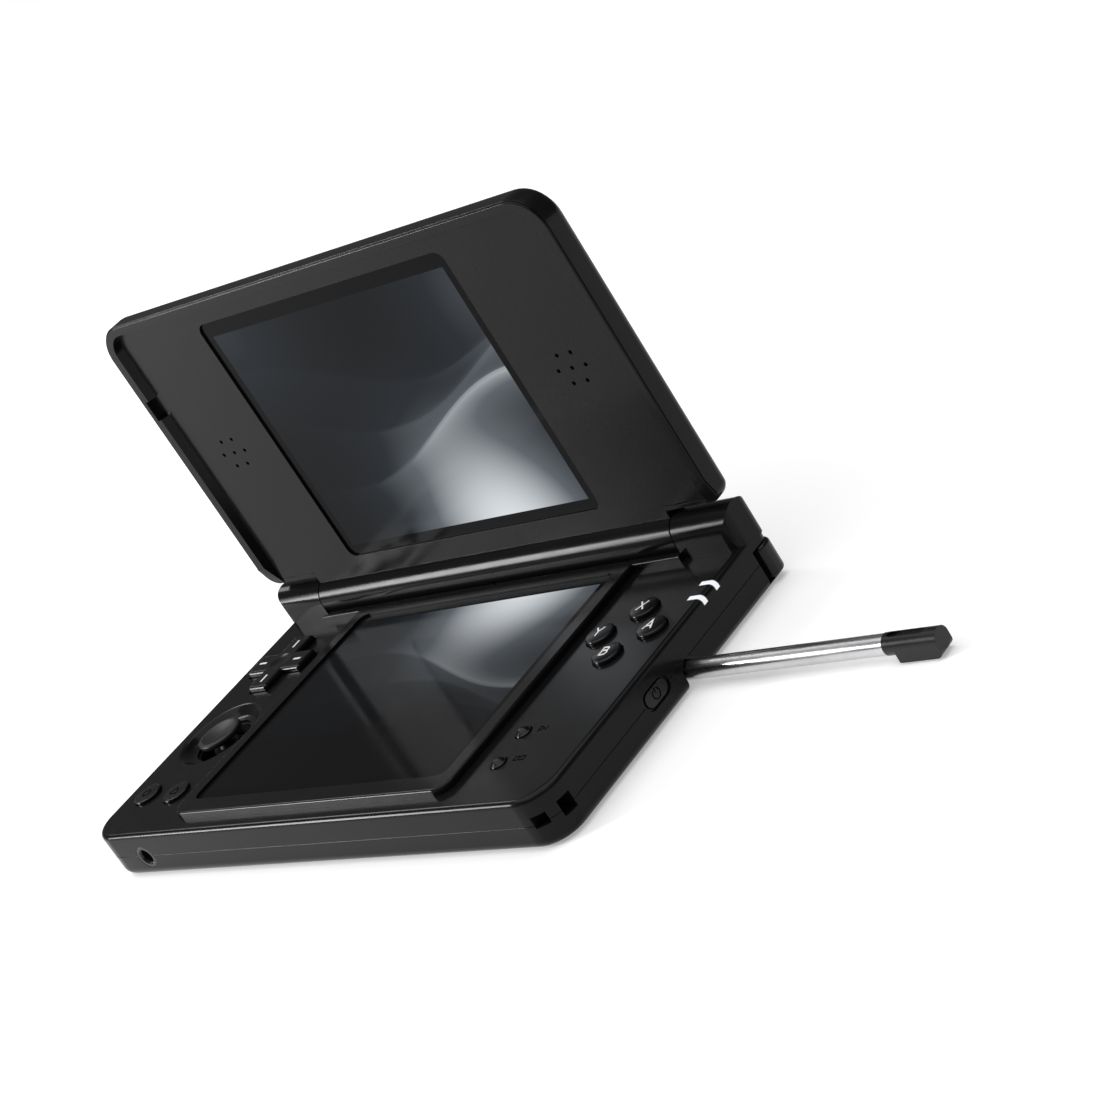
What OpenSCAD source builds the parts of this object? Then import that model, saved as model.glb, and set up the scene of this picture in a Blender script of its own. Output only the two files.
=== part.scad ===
// Clamshell handheld game console, lid open at a right angle, all sizes in millimetres.
// Origin: centre of the base footprint, on the table. X to the right, Y to the rear, Z up.

/* [Base] */
// overall width, side to side
body_w = 154; // [146:1:162]
// overall depth, front face to the rear of the hinge barrel
body_d = 90.4; // [88:0.2:96]
// height of the base at its top face
base_h = 12.2; // [12.2:0.1:12.8]
// height of the seam between the two halves of the base
parting_z = 6.1; // [5.9:0.1:6.3]
// plan radius of the front corners
corner_r = 8.2; // [6:0.2:10]
// plan radius of the rear corners
rear_corner_r = 3; // [2.6:0.1:4]
// rounding of the top edge
edge_r = 1.25; // [0.8:0.05:1.6]
// rounding of the bottom edge
foot_r = 2.4; // [1.6:0.1:2.5]
// side wall thickness
wall_t = 1.5; // [1.3:0.1:1.7]
// floor thickness
floor_t = 1.4; // [1.2:0.1:1.5]

/* [Hinge] */
// radius of the hinge barrel and of the knuckles
hinge_r = 5; // [4.9:0.05:5.1]
// height of the hinge axis
hinge_z = 16.2; // [16.1:0.05:16.3]
// length of each knuckle
knuckle_w = 16.5; // [14:0.5:18]
// free space round the barrel
barrel_gap = 0.4; // [0.3:0.05:0.5]
// radius of each knuckle's outer front corner
knuckle_r = 3; // [2.5:0.1:3.5]
// end play between barrel and knuckle
end_play = 0.3; // [0.2:0.05:0.5]
// radius of the hinge pins
pin_r = 1.7; // [1.5:0.1:2]
// radial running clearance of the hinge pins
pin_fit = 0.05; // [0.02:0.01:0.1]

/* [Screens] */
// width of the raised plateau round the lower screen
plateau_w = 94.2; // [92:0.2:96]
// height of the plateau over the base
plateau_h = 1.7; // [1.2:0.1:1.7]
// distance from the front face to the plateau
plateau_in = 4.4; // [4:0.1:5]
// width of both glasses
glass_w = 86.4; // [84:0.2:88]
// length of both glasses, front to rear
glass_d = 67.6; // [65:0.2:68]
// thickness of both glasses
glass_t = 1; // [0.8:0.1:1]
// width of the lit picture
active_w = 81.28; // [78:0.1:82]
// height of the lit picture
active_d = 60.96; // [58:0.1:62]

/* [Controls] */
// distance from a side face to the middle of the controls beside the screen
control_in = 15.05; // [14.5:0.05:16]
// middle of the cross pad, front to rear
pad_y = 16.8; // [15.5:0.1:17.5]
// length of the cross pad, tip to tip
pad_span = 20.2; // [18:0.1:20.6]
// width of an arm of the cross pad
pad_arm = 7; // [6:0.1:7.4]
// height of the cross pad's top
pad_top = 13.7; // [13.2:0.05:13.75]
// middle of the four letter buttons, front to rear
keys_y = 9.4; // [8.5:0.1:10.5]
// distance from that middle to each letter button
keys_off = 7.6; // [7.2:0.1:8]
// radius of a letter button
key_r = 3.55; // [3.2:0.05:3.8]
// height of the letter buttons' tops
key_top = 13.5; // [13:0.05:13.8]
// middle of the thumb stick, front to rear
stick_y = -8.85; // [-9.5:0.05:-8.5]
// radius of the dish round the thumb stick
dish_r = 11.3; // [10.4:0.1:11.5]
// radius of the thumb stick's cap
stick_r = 5.75; // [5.4:0.05:5.9]
// free space round each button in its hole
key_gap = 0.2; // [0.15:0.05:0.3]

/* [Sides] */
// middle of the power button, front to rear
power_y = -5.2; // [-6.5:0.1:-4.5]
// middle of the volume rocker, front to rear
volume_y = -4; // [-6:0.5:0]
// position of the stylus silo, front to rear
silo_y = 6.15; // [5.6:0.05:6.6]
// height of the stylus silo's axis
silo_z = 3.4; // [3.35:0.05:3.45]
// radius of the stylus silo
silo_r = 2.4; // [2.35:0.05:2.45]

/* [Lid] */
// distance from the hinge axis to the free edge of the lid
lid_len = 84.2; // [82:0.1:85]
// back face of the lid, below the hinge axis when open flat
lid_back = 3.4; // [3.3:0.02:3.5]
// height of the rim over the hinge axis
rim_w = 3.8; // [3.6:0.05:3.85]
// height of the bezel face over the hinge axis
bezel_w = 1.9; // [1.8:0.05:2]
// start of the lid above the knuckles
lid_start = 6.4; // [6.3:0.1:6.8]
// middle of the upper picture from the hinge axis
upper_mid = 43.25; // [43:0.05:43.5]

/* [Stylus] */
// length of the stylus
stylus_len = 80; // [76:0.5:82]
// radius of the stylus cap
stylus_r = 2.3; // [2.25:0.01:2.32]
// how far the stylus is drawn out
drawn = 65; // [0:1:66]

/* [Hidden] */
$fn = 64;

hw = body_w / 2;
front_y = -body_d / 2;
hinge_y = body_d / 2 - hinge_r;
rear_y = body_d / 2 - 0.6;
roof_z = base_h - 1.6;
knuckle_x = hw - knuckle_w;
barrel_x = knuckle_x - end_play;
trough_r = hinge_r + barrel_gap;
trough_wall = 1.4;
unit_r = 3.45;
unit_depth = 13.9;
seam = 0.15;

plateau_top = base_h + plateau_h;
glass_front = front_y + 9.2;
glass_mid = glass_front + glass_d / 2;
glass_drop = 0.6;
glass_z = plateau_top - glass_drop - glass_t;
active_mid = front_y + 43.3;
ledge_t = 0.6;
frame_w = 1;
module_t = 1.98;

board_z = 5.4;
board_t = 1;
board_top = board_z + board_t;

pad_x = -(hw - control_in);
keys_x = hw - control_in;
pad_pivot = 8.6;
ball_r = 1.8;
ball_fit = 0.06;
stick_pivot = 8.2;
yoke_pin_r = 0.9;

start_x = hw - 21.9;
start_y = front_y + 23.2;
select_x = hw - 21.7;
select_y = front_y + 13.6;
menu_xl = -(hw - 9.2);
menu_yl = front_y + 14.6;
menu_xr = -(hw - 20.8);
menu_yr = front_y + 14.3;
dome_r = 1.9;
menu_r = 3.55;

flange_lo = roof_z - 1.2;
flange_hi = roof_z - 0.3;
plunger_z = board_top + 1.8;

jack_x = -(hw - 17.5);
jack_z = 5.65;
jack_r = 2.9;
plug_r = 1.775;
plug_len = 13.5;

port_x = 48;
port_z = 5.2;
port_w = 9;
port_h = 3.3;

screw_x = hw - 10.5;
screw_front = front_y + 5.7;
screw_rear_x = hw - 9;
screw_rear = body_d / 2 - 14.2;
screw_r = 1;
head_r = 2.3;

shoulder_in = hw - 15.4;
shoulder_y = body_d / 2 - 7.5;
shoulder_pin_x = hw - 13.4;
shoulder_pin_y = body_d / 2 - 3.6;
shoulder_lo = 0.9;
shoulder_hi = 9.3;
shoulder_pin_r = 0.8;

silo_wall = 0.6;
silo_end = hw - 85;
slot_len = 11;
notch_r = 2.72;

cap_len = 13;
flag_len = 10.6;
flag_out = silo_z - 0.2;
tip_len = 4;
stylus_end = hw - 0.2 + drawn;
shaft_r = stylus_r - 0.1;

lip = 0.28;
cover_t = 1.4;
flank_t = 1.3;
cover_top = rim_w - 0.45;
chamfer_end = lid_start + 6.2;
upper_glass_w = bezel_w - 0.55;
speaker_x = hw - 18;
speaker_u = upper_mid + 0.95;
speaker_r = 7;
core_lo = bezel_w - 2.4;

shell_grey = [0.09, 0.09, 0.1];
key_grey = [0.06, 0.06, 0.07];
metal = [0.7, 0.71, 0.73];
board_green = [0.05, 0.25, 0.14];
glass_black = [0.02, 0.02, 0.03];
rubber = [0.35, 0.36, 0.38];

// ---------- shapes used by several pieces ----------

// plan outline with one radius in front and another at the rear
module plan(x0, x1, y0, y1, rf, rr) {
    translate([x0, y0 + rf]) square([x1 - x0, y1 - y0 - rf - rr]);
    translate([x0 + rf, y0]) square([x1 - x0 - 2 * rf, rf + 0.01]);
    translate([x0 + rr, y1 - rr - 0.01]) square([x1 - x0 - 2 * rr, rr + 0.01]);
    for (s = [x0 + rf, x1 - rf]) translate([s, y0 + rf]) circle(r = rf);
    for (s = [x0 + rr, x1 - rr]) translate([s, y1 - rr]) circle(r = rr);
}

// disc with rounded lower and upper edge
module puck(r, z0, z1, lo, hi) {
    low = [for (a = [0 : 18 : 90]) [r - lo + lo * sin(a), z0 + lo - lo * cos(a)]];
    high = [for (a = [0 : 18 : 90]) [r - hi + hi * cos(a), z1 - hi + hi * sin(a)]];
    rotate_extrude($fn = 40) polygon(concat([[0, z0]], low, high, [[0, z1]]));
}

// rounded plate made from four corner discs
module slab(x0, x1, y0, y1, rf, rr, z0, z1, lo, hi) {
    hull() {
        for (s = [x0 + rf, x1 - rf]) translate([s, y0 + rf, 0]) puck(rf, z0, z1, lo, hi);
        for (s = [x0 + rr, x1 - rr]) translate([s, y1 - rr, 0]) puck(rr, z0, z1, lo, hi);
    }
}

// cylinder along X from x0 to x1
module rod(x0, x1, y, z, r) {
    translate([x0, y, z]) rotate([0, 90, 0]) cylinder(r = r, h = x1 - x0);
}

module block(x0, x1, y0, y1, z0, z1) {
    translate([x0, y0, z0]) cube([x1 - x0, y1 - y0, z1 - z0]);
}

// both sides of the body
module both() {
    children();
    mirror([1, 0, 0]) children();
}

// pill outline, length a along its first axis and width b
module pill(a, b) {
    square([a - b, b], center = true);
    for (s = [-1, 1]) translate([s * (a - b) / 2, 0]) circle(r = b / 2);
}

// lid coordinates: x across, y from the hinge axis to the free edge, z out of the inner face
module lid_frame() {
    translate([0, hinge_y, hinge_z]) rotate([90, 0, 0]) children();
}

module screw_spots() {
    both() translate([screw_x, screw_front, 0]) children();
    both() translate([screw_rear_x, screw_rear, 0]) children();
}

module key_spots() {
    translate([keys_x, keys_y, 0]) {
        for (a = [0 : 90 : 270]) rotate([0, 0, a]) translate([keys_off, 0, 0]) children();
    }
}

// ---------- base ----------

module shoulder_space() {
    block(shoulder_in, hw + 3, shoulder_y - seam, body_d / 2 + 1, shoulder_lo, shoulder_hi);
}

module shoulder_wall(z0, z1) {
    block(shoulder_in - 1.2, hw - 1, shoulder_y - 1.35, shoulder_y - seam, z0, z1);
    block(shoulder_in - 1.2, shoulder_in, shoulder_y - 1.35, rear_y - 1, z0, z1);
}

module strap_space() {
    block(hw - 5.8, hw + 1, front_y + 4.6, front_y + 8, 4.6, 8.4);
    block(hw - 5.5, hw - 2.5, front_y - 1, front_y + 8, 5.3, 8);
}

module power_space() {
    translate([hw - 3, power_y, parting_z + 0.2]) rotate([90, 0, 90]) linear_extrude(4) pill(7.9, 3.8);
    translate([hw - 0.5, power_y, parting_z + 0.2]) rotate([90, 0, 90]) linear_extrude(2) pill(9.2, 4.6);
}

module volume_space() {
    translate([-hw - 1, volume_y, parting_z]) rotate([90, 0, 90]) linear_extrude(4) pill(20.4, 4.2);
}

module port_space() {
    translate([port_x, rear_y - 3, port_z]) rotate([-90, 0, 0]) linear_extrude(4) pill(port_w + 0.1, port_h + 0.1);
}

module jack_space() {
    translate([jack_x, front_y - 1, jack_z]) rotate([-90, 0, 0]) cylinder(r = jack_r + 0.05, h = 3);
}

module inner_plan(t) {
    plan(-hw + t, hw - t, front_y + t, rear_y - t, corner_r - t, rear_corner_r - t);
}

module base_bottom_shell() {
    color(shell_grey)
    difference() {
        union() {
            difference() {
                slab(-hw, hw, front_y, rear_y, corner_r, rear_corner_r, 0, parting_z, foot_r, seam);
                translate([0, 0, floor_t]) linear_extrude(base_h) inner_plan(wall_t);
            }
            rod(silo_end - 1, hw - wall_t, silo_y, silo_z, silo_r + silo_wall);
            both() shoulder_wall(floor_t - 0.2, parting_z);
            screw_spots() cylinder(r = 3.2, h = 3);
            for (s = [-50, 0, 50]) translate([s, front_y + 6.5, 0]) cylinder(r = 1.8, h = board_z);
            for (s = [-50, 0, 50]) translate([s, shoulder_y - 4.2, 0]) cylinder(r = 1.8, h = board_z);
            translate([0, 0, floor_t - 0.2]) linear_extrude(parting_z - floor_t + 0.2) intersection() {
                inner_plan(wall_t - 0.3);
                translate([hw - 8, front_y]) square([8, 9.5]);
            }
            block(jack_x - 3, jack_x + 3, front_y + 3, front_y + 13, floor_t - 0.2, jack_z - 2.8);
            block(port_x - 4, port_x + 4, rear_y - 8, rear_y - 2, floor_t - 0.2, port_z - port_h / 2);
            translate([-hw + 2.3, volume_y, 0.5]) cylinder(r = 1.5, h = parting_z - 3);
        }
        rod(silo_end, hw + 1, silo_y, silo_z, silo_r);
        rod(hw - slot_len, hw + 1, silo_y, silo_z, notch_r);
        block(hw - slot_len, hw + 1, silo_y - notch_r, silo_y + notch_r, -1, silo_z);
        both() shoulder_space();
        both() translate([shoulder_pin_x, shoulder_pin_y, 0.5]) cylinder(r = shoulder_pin_r, h = 2);
        translate([-hw + 2.3, volume_y, 2]) cylinder(r = 0.7, h = 4);
        screw_spots() translate([0, 0, -1]) cylinder(r = head_r + 0.2, h = 2.7);
        screw_spots() translate([0, 0, 1]) cylinder(r = screw_r + 0.2, h = 3);
        strap_space();
        power_space();
        volume_space();
        port_space();
        jack_space();
    }
}

// knuckle: the barrel's round top on an upright front face, with a rounded outer corner
module knuckle() {
    front = hinge_y - hinge_r;
    intersection() {
        union() {
            rod(knuckle_x, hw, hinge_y, hinge_z, hinge_r);
            block(knuckle_x, hw, front, hinge_y, roof_z, hinge_z);
            block(knuckle_x, hw, hinge_y, rear_y, roof_z, hinge_z);
        }
        translate([0, 0, roof_z]) linear_extrude(20) {
            translate([knuckle_x, front]) square([knuckle_w - knuckle_r, 2 * hinge_r]);
            translate([knuckle_x, front + knuckle_r]) square([knuckle_w, 2 * hinge_r - knuckle_r - rear_corner_r]);
            translate([hw - knuckle_r, front + knuckle_r]) circle(r = knuckle_r);
            translate([hw - rear_corner_r, front + 2 * hinge_r - rear_corner_r]) circle(r = rear_corner_r);
        }
    }
}

module dish_cut() {
    translate([pad_x, stick_y, 0])
    rotate_extrude() polygon([
        [0, base_h + 1], [dish_r + 0.5, base_h + 1], [dish_r + 0.5, base_h + 0.01], [dish_r, base_h - 0.08],
        [dish_r - 0.5, base_h - 0.35], [dish_r - 1.1, base_h - 0.95], [dish_r - 1.9, base_h - 1.6],
        [dish_r - 2.6, base_h - 1.92], [dish_r - 3.3, base_h - 2], [7.6, base_h - 2], [7.6, base_h - 4], [0, base_h - 4]
    ]);
}

module base_top_shell() {
    color(shell_grey)
    difference() {
        union() {
            slab(-hw, hw, front_y, rear_y, corner_r, rear_corner_r, parting_z, base_h, seam, edge_r);
            slab(-plateau_w / 2, plateau_w / 2, front_y + plateau_in, hinge_y, 4, 4, roof_z, plateau_top, 0.1, 0.6);
            both() knuckle();
            translate([0, hinge_y - trough_r - 1.2, 0]) {
                block(-knuckle_x - 0.5, knuckle_x + 0.5, 0, 3, roof_z, plateau_top - 0.5);
                block(-knuckle_x - 0.5, knuckle_x + 0.5, 0.5, 3, roof_z, plateau_top);
                rod(-knuckle_x - 0.5, knuckle_x + 0.5, 0.5, plateau_top - 0.5, 0.5);
            }
        }
        difference() {
            translate([0, 0, parting_z - 1]) linear_extrude(roof_z - parting_z + 1) inner_plan(wall_t);
            rod(-knuckle_x - 1, knuckle_x + 1, hinge_y, hinge_z, trough_r + trough_wall);
            both() shoulder_wall(parting_z - 2, roof_z + 1);
            both() block(shoulder_in - 0.5, hw, shoulder_y - 1, rear_y, shoulder_hi - 0.5, roof_z + 1);
            translate([pad_x, stick_y, base_h - 2.55]) cylinder(r = dish_r + 1, h = 3);
            screw_spots() translate([0, 0, 3]) cylinder(r = 2.6, h = roof_z);
            block(hw - 8, hw, front_y, front_y + 9.5, parting_z - 2, roof_z + 1);
            translate([-hw + 2.3, volume_y, parting_z + 2.2]) cylinder(r = 1.5, h = roof_z);
        }
        screw_spots() translate([0, 0, 1]) cylinder(r = screw_r, h = 7.5);
        rod(-knuckle_x, knuckle_x, hinge_y, hinge_z, trough_r);
        block(-knuckle_x, knuckle_x, hinge_y, body_d, base_h - 1, hinge_z + 9);
        both() rod(knuckle_x - 1, knuckle_x + unit_depth, hinge_y, hinge_z, unit_r);
        translate([0, 0, glass_z]) linear_extrude(4)
            plan(-glass_w / 2, glass_w / 2, glass_front, glass_front + glass_d, 2.5, 2.5);
        block(-active_w / 2 - frame_w, active_w / 2 + frame_w,
            active_mid - active_d / 2 - frame_w, active_mid + active_d / 2 + frame_w, roof_z - 2, glass_z + 1);
        block(-glass_w / 2 - 0.7, glass_w / 2 + 0.7, glass_front - 0.2, glass_front + glass_d - 0.2,
            roof_z - 1, glass_z - ledge_t);
        translate([pad_x, pad_y, roof_z - 1]) linear_extrude(4) {
            square([pad_span + 0.7, pad_arm + 0.7], center = true);
            square([pad_arm + 0.7, pad_span + 0.7], center = true);
        }
        key_spots() translate([0, 0, roof_z - 1]) cylinder(r = key_r + key_gap, h = 4);
        translate([start_x, start_y, roof_z - 1]) cylinder(r = dome_r + key_gap, h = 4);
        translate([select_x, select_y, roof_z - 1]) cylinder(r = dome_r + key_gap, h = 4);
        translate([menu_xl, menu_yl, roof_z - 1]) cylinder(r = menu_r + key_gap, h = 4);
        translate([menu_xr, menu_yr, roof_z - 1]) cylinder(r = menu_r + key_gap, h = 4);
        dish_cut();
        for (s = light_y) block(light_in, hw + 1, s - light_w / 2, s + light_w / 2, light_z, base_h + 1);
        both() shoulder_space();
        both() translate([shoulder_pin_x, shoulder_pin_y, shoulder_hi - 0.5]) cylinder(r = shoulder_pin_r, h = 0.9);
        translate([-hw + 2.3, volume_y, parting_z + 1]) cylinder(r = 0.7, h = 2.4);
        strap_space();
        power_space();
        volume_space();
        port_space();
        jack_space();
    }
}

module lower_screen_glass() {
    color(glass_black)
    translate([0, 0, glass_z]) linear_extrude(glass_t)
        plan(-glass_w / 2 + 0.1, glass_w / 2 - 0.1, glass_front + 0.1, glass_front + glass_d - 0.1, 2.4, 2.4);
}

module lower_display_module() {
    color(metal)
    difference() {
        block(-glass_w / 2 + 0.6, glass_w / 2 - 0.6, glass_front + 0.4, glass_front + glass_d - 0.6,
            glass_z - ledge_t - module_t, glass_z - ledge_t);
        block(-glass_w / 2 + 8, glass_w / 2 - 8, glass_front + 8, glass_front + glass_d - 8,
            glass_z - ledge_t - module_t - 1, glass_z - ledge_t - module_t + 0.4);
    }
}

module main_board() {
    color(board_green)
    translate([0, 0, board_z]) linear_extrude(board_t) difference() {
        plan(-hw + 4.5, hw - 4.5, front_y + 4, shoulder_y - 2.4, 2, 2);
        translate([silo_end - 2, silo_y - silo_r - silo_wall - 0.15]) square([hw * 2, 2 * (silo_r + silo_wall) + 0.3]);
        translate([jack_x - 4.4, front_y]) square([8.3, 14.4]);
        for (s = [-1, 1]) translate([s * screw_x, screw_front]) circle(r = 3.5);
        for (s = [-1, 1]) translate([s * screw_rear_x, screw_rear]) circle(r = 3.5);
        translate([hw - 8.3, front_y]) square([10, 9.9]);
        translate([-hw, volume_y - 3]) square([5.4, 6]);
    }
}

module battery() {
    color([0.2, 0.22, 0.26])
    translate([0, 0, floor_t]) linear_extrude(3.5) plan(-34, 34, front_y + 9.5, silo_y - 4.2, 1.5, 1.5);
}

module pad_membrane() {
    color(rubber)
    difference() {
        union() {
            translate([pad_x, pad_y, board_top]) linear_extrude(0.5) plan(-9.4, 9.4, -9.4, 9.4, 3, 3);
            translate([pad_x, pad_y, board_top]) {
                for (a = [0 : 90 : 270]) rotate([0, 0, a]) translate([6.6, 0, 0]) cylinder(r1 = 2.2, r2 = 1.4, h = 1.3);
            }
        }
        translate([pad_x, pad_y, 0]) cylinder(r = 3.6, h = 12);
    }
}

module keys_membrane() {
    color(rubber) {
        translate([0, 0, board_top]) linear_extrude(0.5)
            plan(keys_x - 12, keys_x + 9.6, keys_y - 11.4, keys_y + 12, 3, 3);
        translate([0, 0, board_top]) linear_extrude(0.5)
            plan(start_x - 3.4, start_x + 3.6, select_y - 3.4, keys_y - 10, 1.5, 1.5);
        key_spots() translate([0, 0, board_top]) cylinder(r1 = 2.8, r2 = 1.8, h = 1.1);
        translate([start_x, start_y, board_top]) cylinder(r1 = 1.6, r2 = 1, h = 1.1);
        translate([select_x, select_y, board_top]) cylinder(r1 = 1.6, r2 = 1, h = 1.1);
    }
}

module menu_membrane() {
    color(rubber) {
        translate([menu_xl - 3, menu_yl + 1.2, board_top]) cube([16, 3, 0.5]);
        translate([menu_xl, menu_yl + 2.4, board_top]) cylinder(r = 1.1, h = 1.8);
        translate([menu_xr, menu_yr + 2.5, board_top]) cylinder(r = 1.1, h = 1.8);
    }
}

// ---------- cross pad on its ball ----------

module pad_post() {
    color(rubber)
    difference() {
        translate([pad_x, pad_y, board_top]) cylinder(r = 3.3, h = 1.5);
        translate([pad_x, pad_y, pad_pivot]) sphere(r = ball_r + ball_fit);
    }
}

module pad_ball() {
    color(metal) translate([pad_x, pad_y, pad_pivot]) sphere(r = ball_r);
}

module cross_pad() {
    color(key_grey)
    translate([pad_x, pad_y, 0]) difference() {
        union() {
            slab(-pad_span / 2, pad_span / 2, -pad_arm / 2, pad_arm / 2, 0.9, 0.9, pad_pivot + 0.6, pad_top, 0.2, 0.8);
            slab(-pad_arm / 2, pad_arm / 2, -pad_span / 2, pad_span / 2, 0.9, 0.9, pad_pivot + 0.6, pad_top, 0.2, 0.8);
            translate([0, 0, pad_pivot + 0.3]) cylinder(r = 8, h = 0.6);
        }
        translate([0, 0, pad_pivot]) sphere(r = ball_r + ball_fit);
        translate([0, 0, pad_top + 11.6]) sphere(r = 12);
    }
}

// ---------- thumb stick ----------

module stick_housing() {
    color(metal)
    translate([pad_x, stick_y, 0]) difference() {
        translate([0, 0, board_top]) linear_extrude(3) plan(-8.6, 8.6, -8.6, 8.6, 1, 1);
        translate([0, 0, board_top + 0.2]) cylinder(r = 7.2, h = 4);
        translate([0, 0, board_top - 1]) cylinder(r = 2.8, h = 3);
        rod(-8.1, 8.1, 0, stick_pivot, yoke_pin_r + 0.05);
    }
}

module stick_yoke() {
    color(key_grey)
    translate([pad_x, stick_y, stick_pivot]) difference() {
        union() {
            rod(-8, 8, 0, 0, yoke_pin_r);
            translate([0, 0, -0.8]) cylinder(r = 3.5, h = 1.6);
        }
        translate([0, 0, -2]) cylinder(r = 2.26, h = 4);
    }
}

module thumb_stick() {
    color(key_grey)
    translate([pad_x, stick_y, 0]) difference() {
        union() {
            intersection() {
                translate([0, 0, stick_pivot]) sphere(r = 2.2);
                translate([0, 0, stick_pivot - 1.3]) cylinder(r = 3, h = 4);
            }
            translate([0, 0, stick_pivot]) cylinder(r = 1.6, h = base_h - 0.8 - stick_pivot);
            translate([0, 0, base_h - 2.2]) cylinder(r1 = 1.8, r2 = 4.2, h = 1.5);
            rotate_extrude() polygon([
                [0, base_h - 0.9], [stick_r - 0.5, base_h - 0.9], [stick_r - 0.12, base_h - 0.75],
                [stick_r, base_h - 0.4], [stick_r, base_h + 0.1], [stick_r - 0.15, base_h + 0.42],
                [stick_r - 0.5, base_h + 0.58], [stick_r - 0.9, base_h + 0.6], [0, base_h + 0.6]
            ]);
        }
        translate([0, 0, base_h + 16.1]) sphere(r = 16.2);
    }
}

// ---------- push buttons ----------

// cap r with a soft edge and a slight dome, retaining flange under the roof, plunger below
module press_key(x, y, r, top, edge, dome, foot) {
    rim = [for (a = [0 : 15 : 90]) [r - edge + edge * cos(a), top - dome - edge + edge * sin(a)]];
    crown = [for (t = [0.75, 0.5, 0.25, 0]) [(r - edge) * t, top - dome * t * t]];
    translate([x, y, 0]) rotate_extrude() polygon(concat(
        [[0, foot], [r - 0.9, foot], [r - 0.9, flange_lo], [r + 0.6, flange_lo], [r + 0.6, flange_hi], [r, flange_hi]],
        rim, crown));
}

module button_a() {
    color(key_grey) press_key(keys_x + keys_off, keys_y, key_r, key_top, 0.5, 0.25, plunger_z);
}

module button_b() {
    color(key_grey) press_key(keys_x, keys_y - keys_off, key_r, key_top, 0.5, 0.25, plunger_z);
}

module button_x() {
    color(key_grey) press_key(keys_x, keys_y + keys_off, key_r, key_top, 0.5, 0.25, plunger_z);
}

module button_y() {
    color(key_grey) press_key(keys_x - keys_off, keys_y, key_r, key_top, 0.5, 0.25, plunger_z);
}

module start_button() {
    color(key_grey) press_key(start_x, start_y, dome_r, base_h + 1.35, 0.35, 0.95, plunger_z);
}

module select_button() {
    color(key_grey) press_key(select_x, select_y, dome_r, base_h + 1.35, 0.35, 0.95, plunger_z);
}

module menu_button_left() {
    color(key_grey) press_key(menu_xl, menu_yl, menu_r, base_h + 0.85, 0.3, 0.1, board_top + 2.4);
}

module menu_button_right() {
    color(key_grey) press_key(menu_xr, menu_yr, menu_r, base_h + 0.85, 0.3, 0.1, board_top + 2.4);
}

module power_button() {
    color(key_grey)
    translate([0, power_y, parting_z + 0.2]) rotate([90, 0, 90]) {
        translate([0, 0, hw - 2.9]) linear_extrude(2.75) pill(7.5, 3.4);
        translate([0, 0, hw - 2.9]) linear_extrude(1.1) pill(9, 4.8);
    }
}

module power_switch() {
    color(metal) {
        block(hw - 7.8, hw - 4.4, power_y - 3, power_y + 3, board_top, board_top + 2.4);
        translate([hw - 4.5, power_y, parting_z + 1.2]) rotate([0, 90, 0]) cylinder(r = 0.7, h = 0.8);
    }
}

module volume_rocker() {
    color(key_grey)
    difference() {
        union() {
            translate([-hw - 0.45, volume_y, parting_z]) rotate([90, 0, 90]) linear_extrude(2.1) pill(19.6, 3.4);
            translate([-hw + 2.3, volume_y, parting_z - 1.6]) cylinder(r = 1.6, h = 3.2);
            block(-hw + 1, -hw + 2.4, volume_y - 1.6, volume_y + 1.6, parting_z - 1.6, parting_z + 1.6);
            for (s = [-1, 1]) block(-hw + 1.6, -hw + 3.8, volume_y + s * 7 - 0.8, volume_y + s * 7 + 0.8, parting_z + 0.5, parting_z + 1.6);
        }
        translate([-hw + 2.3, volume_y, 0]) cylinder(r = 0.75, h = 12);
    }
}

module volume_pin() {
    color(metal) translate([-hw + 2.3, volume_y, 2]) cylinder(r = 0.7, h = parting_z + 1.4);
}

module volume_switch() {
    color(metal) {
        for (s = [-1, 1]) block(-hw + 5, -hw + 6.3, volume_y + s * 7 - 2, volume_y + s * 7 + 2, board_top, board_top + 2);
        for (s = [-1, 1]) translate([-hw + 4.3, volume_y + s * 7, board_top + 0.9]) rotate([0, 90, 0]) cylinder(r = 0.6, h = 0.8);
    }
}

// ---------- shoulder buttons ----------

module shoulder_shape() {
    difference() {
        hull() {
            translate([hw - 2.2, rear_y - 2.8, 0]) puck(3, 1.2, 9, 0.8, 0.8);
            translate([hw - 1, shoulder_y + 3.3, 0]) puck(1.8, 1.2, 9, 0.8, 0.8);
            translate([shoulder_in + 1.3, rear_y - 0.7, 0]) puck(0.9, 1.2, 9, 0.4, 0.4);
            translate([shoulder_in + 1.3, shoulder_y + 2.4, 0]) puck(0.9, 1.2, 9, 0.4, 0.4);
        }
        translate([shoulder_pin_x, shoulder_pin_y, 0]) cylinder(r = shoulder_pin_r + 0.05, h = 12);
    }
}

module shoulder_button_right() {
    color(key_grey) shoulder_shape();
}

module shoulder_button_left() {
    color(key_grey) mirror([1, 0, 0]) shoulder_shape();
}

module shoulder_pins() {
    color(metal) both() translate([shoulder_pin_x, shoulder_pin_y, 0.5]) cylinder(r = shoulder_pin_r, h = shoulder_hi - 0.1);
}

module shoulder_switches() {
    color(metal) both() {
        block(hw - 6.1, hw - 3.2, shoulder_y - 5.6, shoulder_y - 2.6, board_top, board_top + 2);
    }
}

// ---------- lights, sockets, screws ----------

light_y = [19, 24];
light_w = 1.8;
light_in = hw - 3.9;
light_z = base_h - 1.8;

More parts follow.
